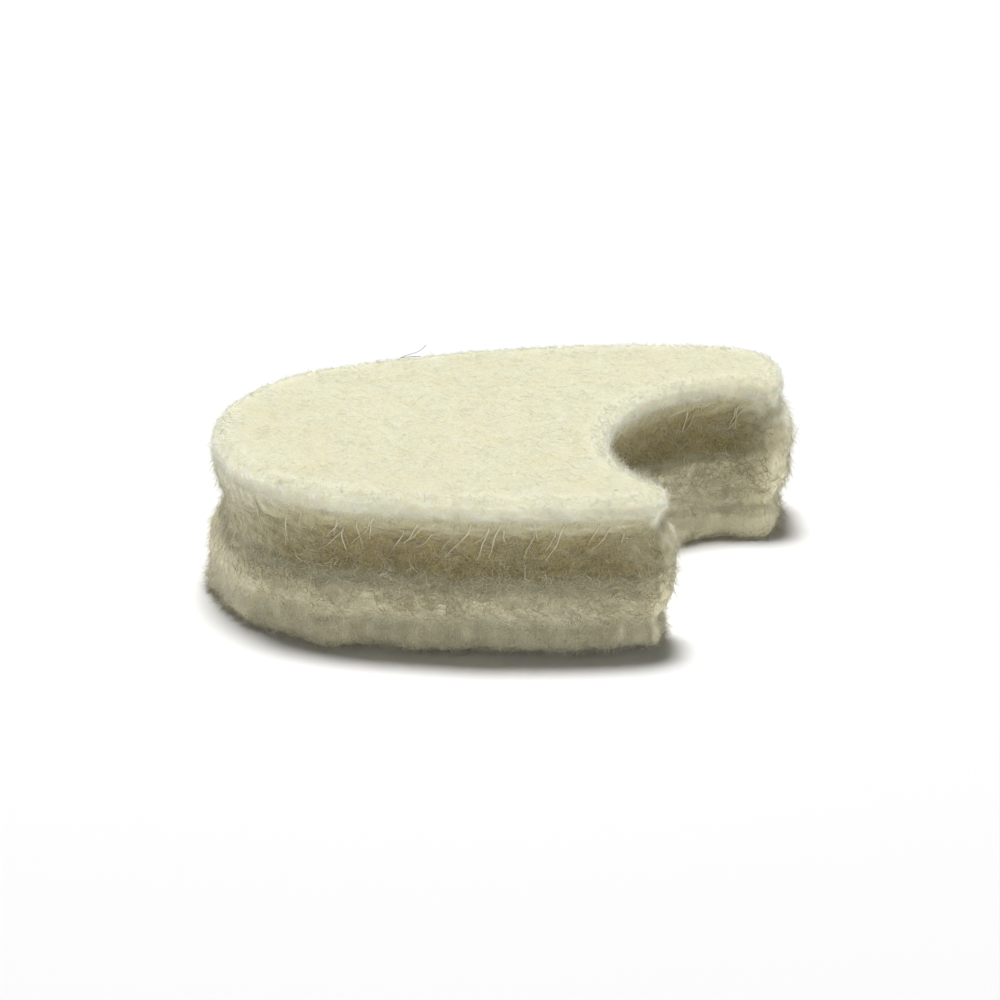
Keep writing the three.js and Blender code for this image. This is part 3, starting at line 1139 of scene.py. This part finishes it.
@dataclass
class Studio:
    """The pale floor, the soft lights and the camera."""

    floor_side: float = 1.6
    key_reach: float = 0.6
    key_lean: float = math.radians(11.5)
    key_side_lean: float = math.radians(1.0)
    key_width: float = 0.2
    key_depth: float = 0.13
    key_power: float = 4.15
    front_reach: float = 0.6
    front_elevation: float = math.radians(9.0)
    front_width: float = 0.5
    front_height: float = 0.22
    front_power: float = 0.45
    fill: float = 0.03
    horizon: float = 1.4
    side_gain: float = 0.45
    horizon_top: float = 0.3
    floor_tone: float = 0.84
    aim: Vector = field(default_factory=lambda: Vector((-0.26, -10.9, 9.5)) * MM)
    reach: float = 400 * MM
    elevation: float = math.radians(25.0)
    lens: float = 259.2

    def build(self) -> None:
        """Makes the floor, the lights and the camera."""
        self._floor()
        self._lights()
        self._camera()

    def _floor(self) -> None:
        """Makes a plain white floor."""
        half = self.floor_side / 2
        mesh = bpy.data.meshes.new("floor")
        corners = [(-half, -half, LOW.z), (half, -half, LOW.z), (half, half, LOW.z), (-half, half, LOW.z)]
        mesh.from_pydata(corners, [], [(0, 1, 2, 3)])
        floor = linked("floor", mesh)
        paint = bpy.data.materials.new("floor_white")
        paint.use_nodes = True
        shader = paint.node_tree.nodes["Principled BSDF"]
        shader.inputs["Base Color"].default_value = (self.floor_tone, self.floor_tone, self.floor_tone, 1.0)
        shader.inputs["Roughness"].default_value = 1.0
        shader.inputs["Specular IOR Level"].default_value = 0.0
        mesh.materials.append(paint)

    def _lights(self) -> None:
        """Makes a soft key light above and a little behind, a low one in front, and a pale horizon."""
        across = math.sin(self.key_side_lean)
        back = math.sin(self.key_lean)
        up = math.sqrt(1.0 - across * across - back * back)
        key_place = Vector((-across, back, up)) * self.key_reach
        self._lamp("key", "ELLIPSE", (self.key_width, self.key_depth), self.key_power, key_place)
        low = Vector((0.0, -math.cos(self.front_elevation), math.sin(self.front_elevation)))
        front_size = (self.front_width, self.front_height)
        self._lamp("front", "RECTANGLE", front_size, self.front_power, low * self.front_reach)
        world = bpy.data.worlds.new("studio")
        world.use_nodes = True
        graph = Graph(world.node_tree)
        way = graph.add("ShaderNodeSeparateXYZ", {0: graph.add("ShaderNodeTexCoord").outputs["Generated"]})
        limits = (0.0, self.horizon_top, self.horizon, self.fill)
        band = graph.ranged(way.outputs["Z"], *limits, interpolation_type="SMOOTHSTEP")
        aside = graph.maths("MULTIPLY", graph.maths("ABSOLUTE", way.outputs["X"]), self.side_gain)
        strength = graph.maths("MULTIPLY", band, graph.maths("ADD", aside, 1.0))
        sky = world.node_tree.nodes["Background"]
        sky.inputs["Color"].default_value = (1.0, 1.0, 1.0, 1.0)
        world.node_tree.links.new(strength, sky.inputs["Strength"])
        bpy.context.scene.world = world

    def _lamp(self, name: str, shape: str, size: tuple[float, float], power: float, place: Vector) -> None:
        """Makes an area light that faces the origin.

        Args:
            name: The light's name.
            shape: The area's shape.
            size: Its width and height.
            power: Its power in watts.
            place: Where it stands.
        """
        lamp = bpy.data.lights.new(name, "AREA")
        lamp.shape = shape
        lamp.size = size[0]
        lamp.size_y = size[1]
        lamp.energy = power
        light = linked(name, lamp)
        light.location = place
        light.rotation_euler = place.to_track_quat("Z", "Y").to_euler()

    def _camera(self) -> None:
        """Makes the camera, looking along +Y and down."""
        data = bpy.data.cameras.new("camera")
        data.sensor_width = 36.0
        data.lens = self.lens
        data.clip_start = 0.01
        data.clip_end = 10.0
        camera = linked("camera", data)
        back = Vector((0.0, -math.cos(self.elevation), math.sin(self.elevation)))
        camera.location = self.aim + back * self.reach
        camera.rotation_euler = (math.pi / 2 - self.elevation, 0.0, 0.0)
        bpy.context.scene.camera = camera


def nap_layers() -> list[FibreLayer]:
    """Lists the layers of the nap, from the upper face down, and last the few long hairs.

    Returns:
        The layers, in the order in which they grow.
    """
    down = (0.0, 0.0, -1.0)
    aslant = (-0.2, 0.0, -1.0)
    level_way = (1.0, 0.3, 0.0)
    return [
        FibreLayer(
            "top_nap", Mask.TOP, 11.0, 0.4 * MM, 0.008 * MM, 0.3, 11,
            curl=0.7, rise_spread=0.3, points=3,
        ),
        FibreLayer(
            "rim_nap", Mask.RIM, 55.0, 0.32 * MM, 0.013 * MM, 0.3, 23,
            curl=0.7, rise_spread=0.45, points=3,
        ),
        FibreLayer("bristles", Mask.BRISTLES, 40.0, 0.6 * MM, 0.012 * MM, 0.6, 29, curl=0.5, rise_spread=0.5),
        FibreLayer(
            "hollow_nap", Mask.HOLLOW, 18.0, 0.8 * MM, 0.020 * MM, 0.1, 31,
            along=level_way, order=0.35, curl=0.7, crimp=0.1, rise_spread=0.12, points=6,
        ),
        FibreLayer(
            "ridge_nap", Mask.RIDGE, 31.0, 0.6 * MM, 0.028 * MM, 0.18, 41,
            along=level_way, order=0.3, curl=0.9, crimp=0.12, rise_spread=0.2, points=6,
        ),
        FibreLayer(
            "lower_nap", Mask.LOWER, 26.0, 0.6 * MM, 0.014 * MM, 0.35, 47,
            along=down, order=0.5, curl=0.5, rise_spread=0.45, points=3,
        ),
        FibreLayer("foot_fringe", Mask.FOOT, 60.0, 0.7 * MM, 0.014 * MM, 0.5, 61, rise_spread=0.5, points=3),
        FibreLayer(
            "groove_hairs", Mask.UNDER_LIP, 1.1, 1.8 * MM, 0.060 * MM, 0.12, 53,
            along=aslant, order=0.93, curl=0.45, crimp=0.02, droop=-0.05, points=7,
        ),
    ]


def main() -> None:
    """Builds the felt, its nap and the studio, and reports each piece."""
    logging.basicConfig(level=logging.INFO, format="%(name)s %(message)s")
    Studio().build()
    mottle = MottleGroup().build()
    body = FeltBody()
    body.build(FeltFinish().build(mottle))
    fine = FibreFinish("wool_nap", (0.66, 0.63, 0.46), (0.88, 0.87, 0.74)).build(mottle)
    white = FibreFinish("wool_rim", (0.74, 0.73, 0.56), (0.97, 0.97, 0.88), shade=0.0).build(mottle)
    # The groove's fibres are darkened by half of the painted shade through shade=0.5.
    coarse = FibreFinish("wool_tangle", (0.55, 0.50, 0.32), (0.97, 0.94, 0.76), shade=0.5).build(mottle)
    hairs = FibreFinish("wool_hair", (0.62, 0.57, 0.39), (0.88, 0.85, 0.64), shade=0.0).build(mottle)
    # Painted light: the ridge's fibres are brightened to stand in for light on the ridge.
    bright = FibreFinish("wool_ridge_painted_light", (0.66, 0.58, 0.35), (1.0, 0.97, 0.77), shade=0.1).build(mottle)
    # Painted shade: the foot fringe is real fuzz, and its dark colour is a painted contact shadow.
    shade = FibreFinish("wool_foot_painted_shade", (0.42, 0.37, 0.21), (0.58, 0.53, 0.36), shade=0.0).build(mottle)
    finishes = {
        Mask.FOOT: shade,
        Mask.RIM: white,
        Mask.BRISTLES: white,
        Mask.HOLLOW: coarse,
        Mask.RIDGE: bright,
        Mask.UNDER_LIP: hairs,
    }
    tree = FibreTree()
    for layer in nap_layers():
        layer.build(body, tree, finishes.get(layer.mask, fine))
    dark = FibreFinish("dark_strand", (0.16, 0.15, 0.10), (0.26, 0.24, 0.17), shade=0.0).build(mottle)
    StrayHairs().build(dark)
    bpy.context.scene.view_settings.view_transform = "Standard"


if __name__ == "__main__":
    main()
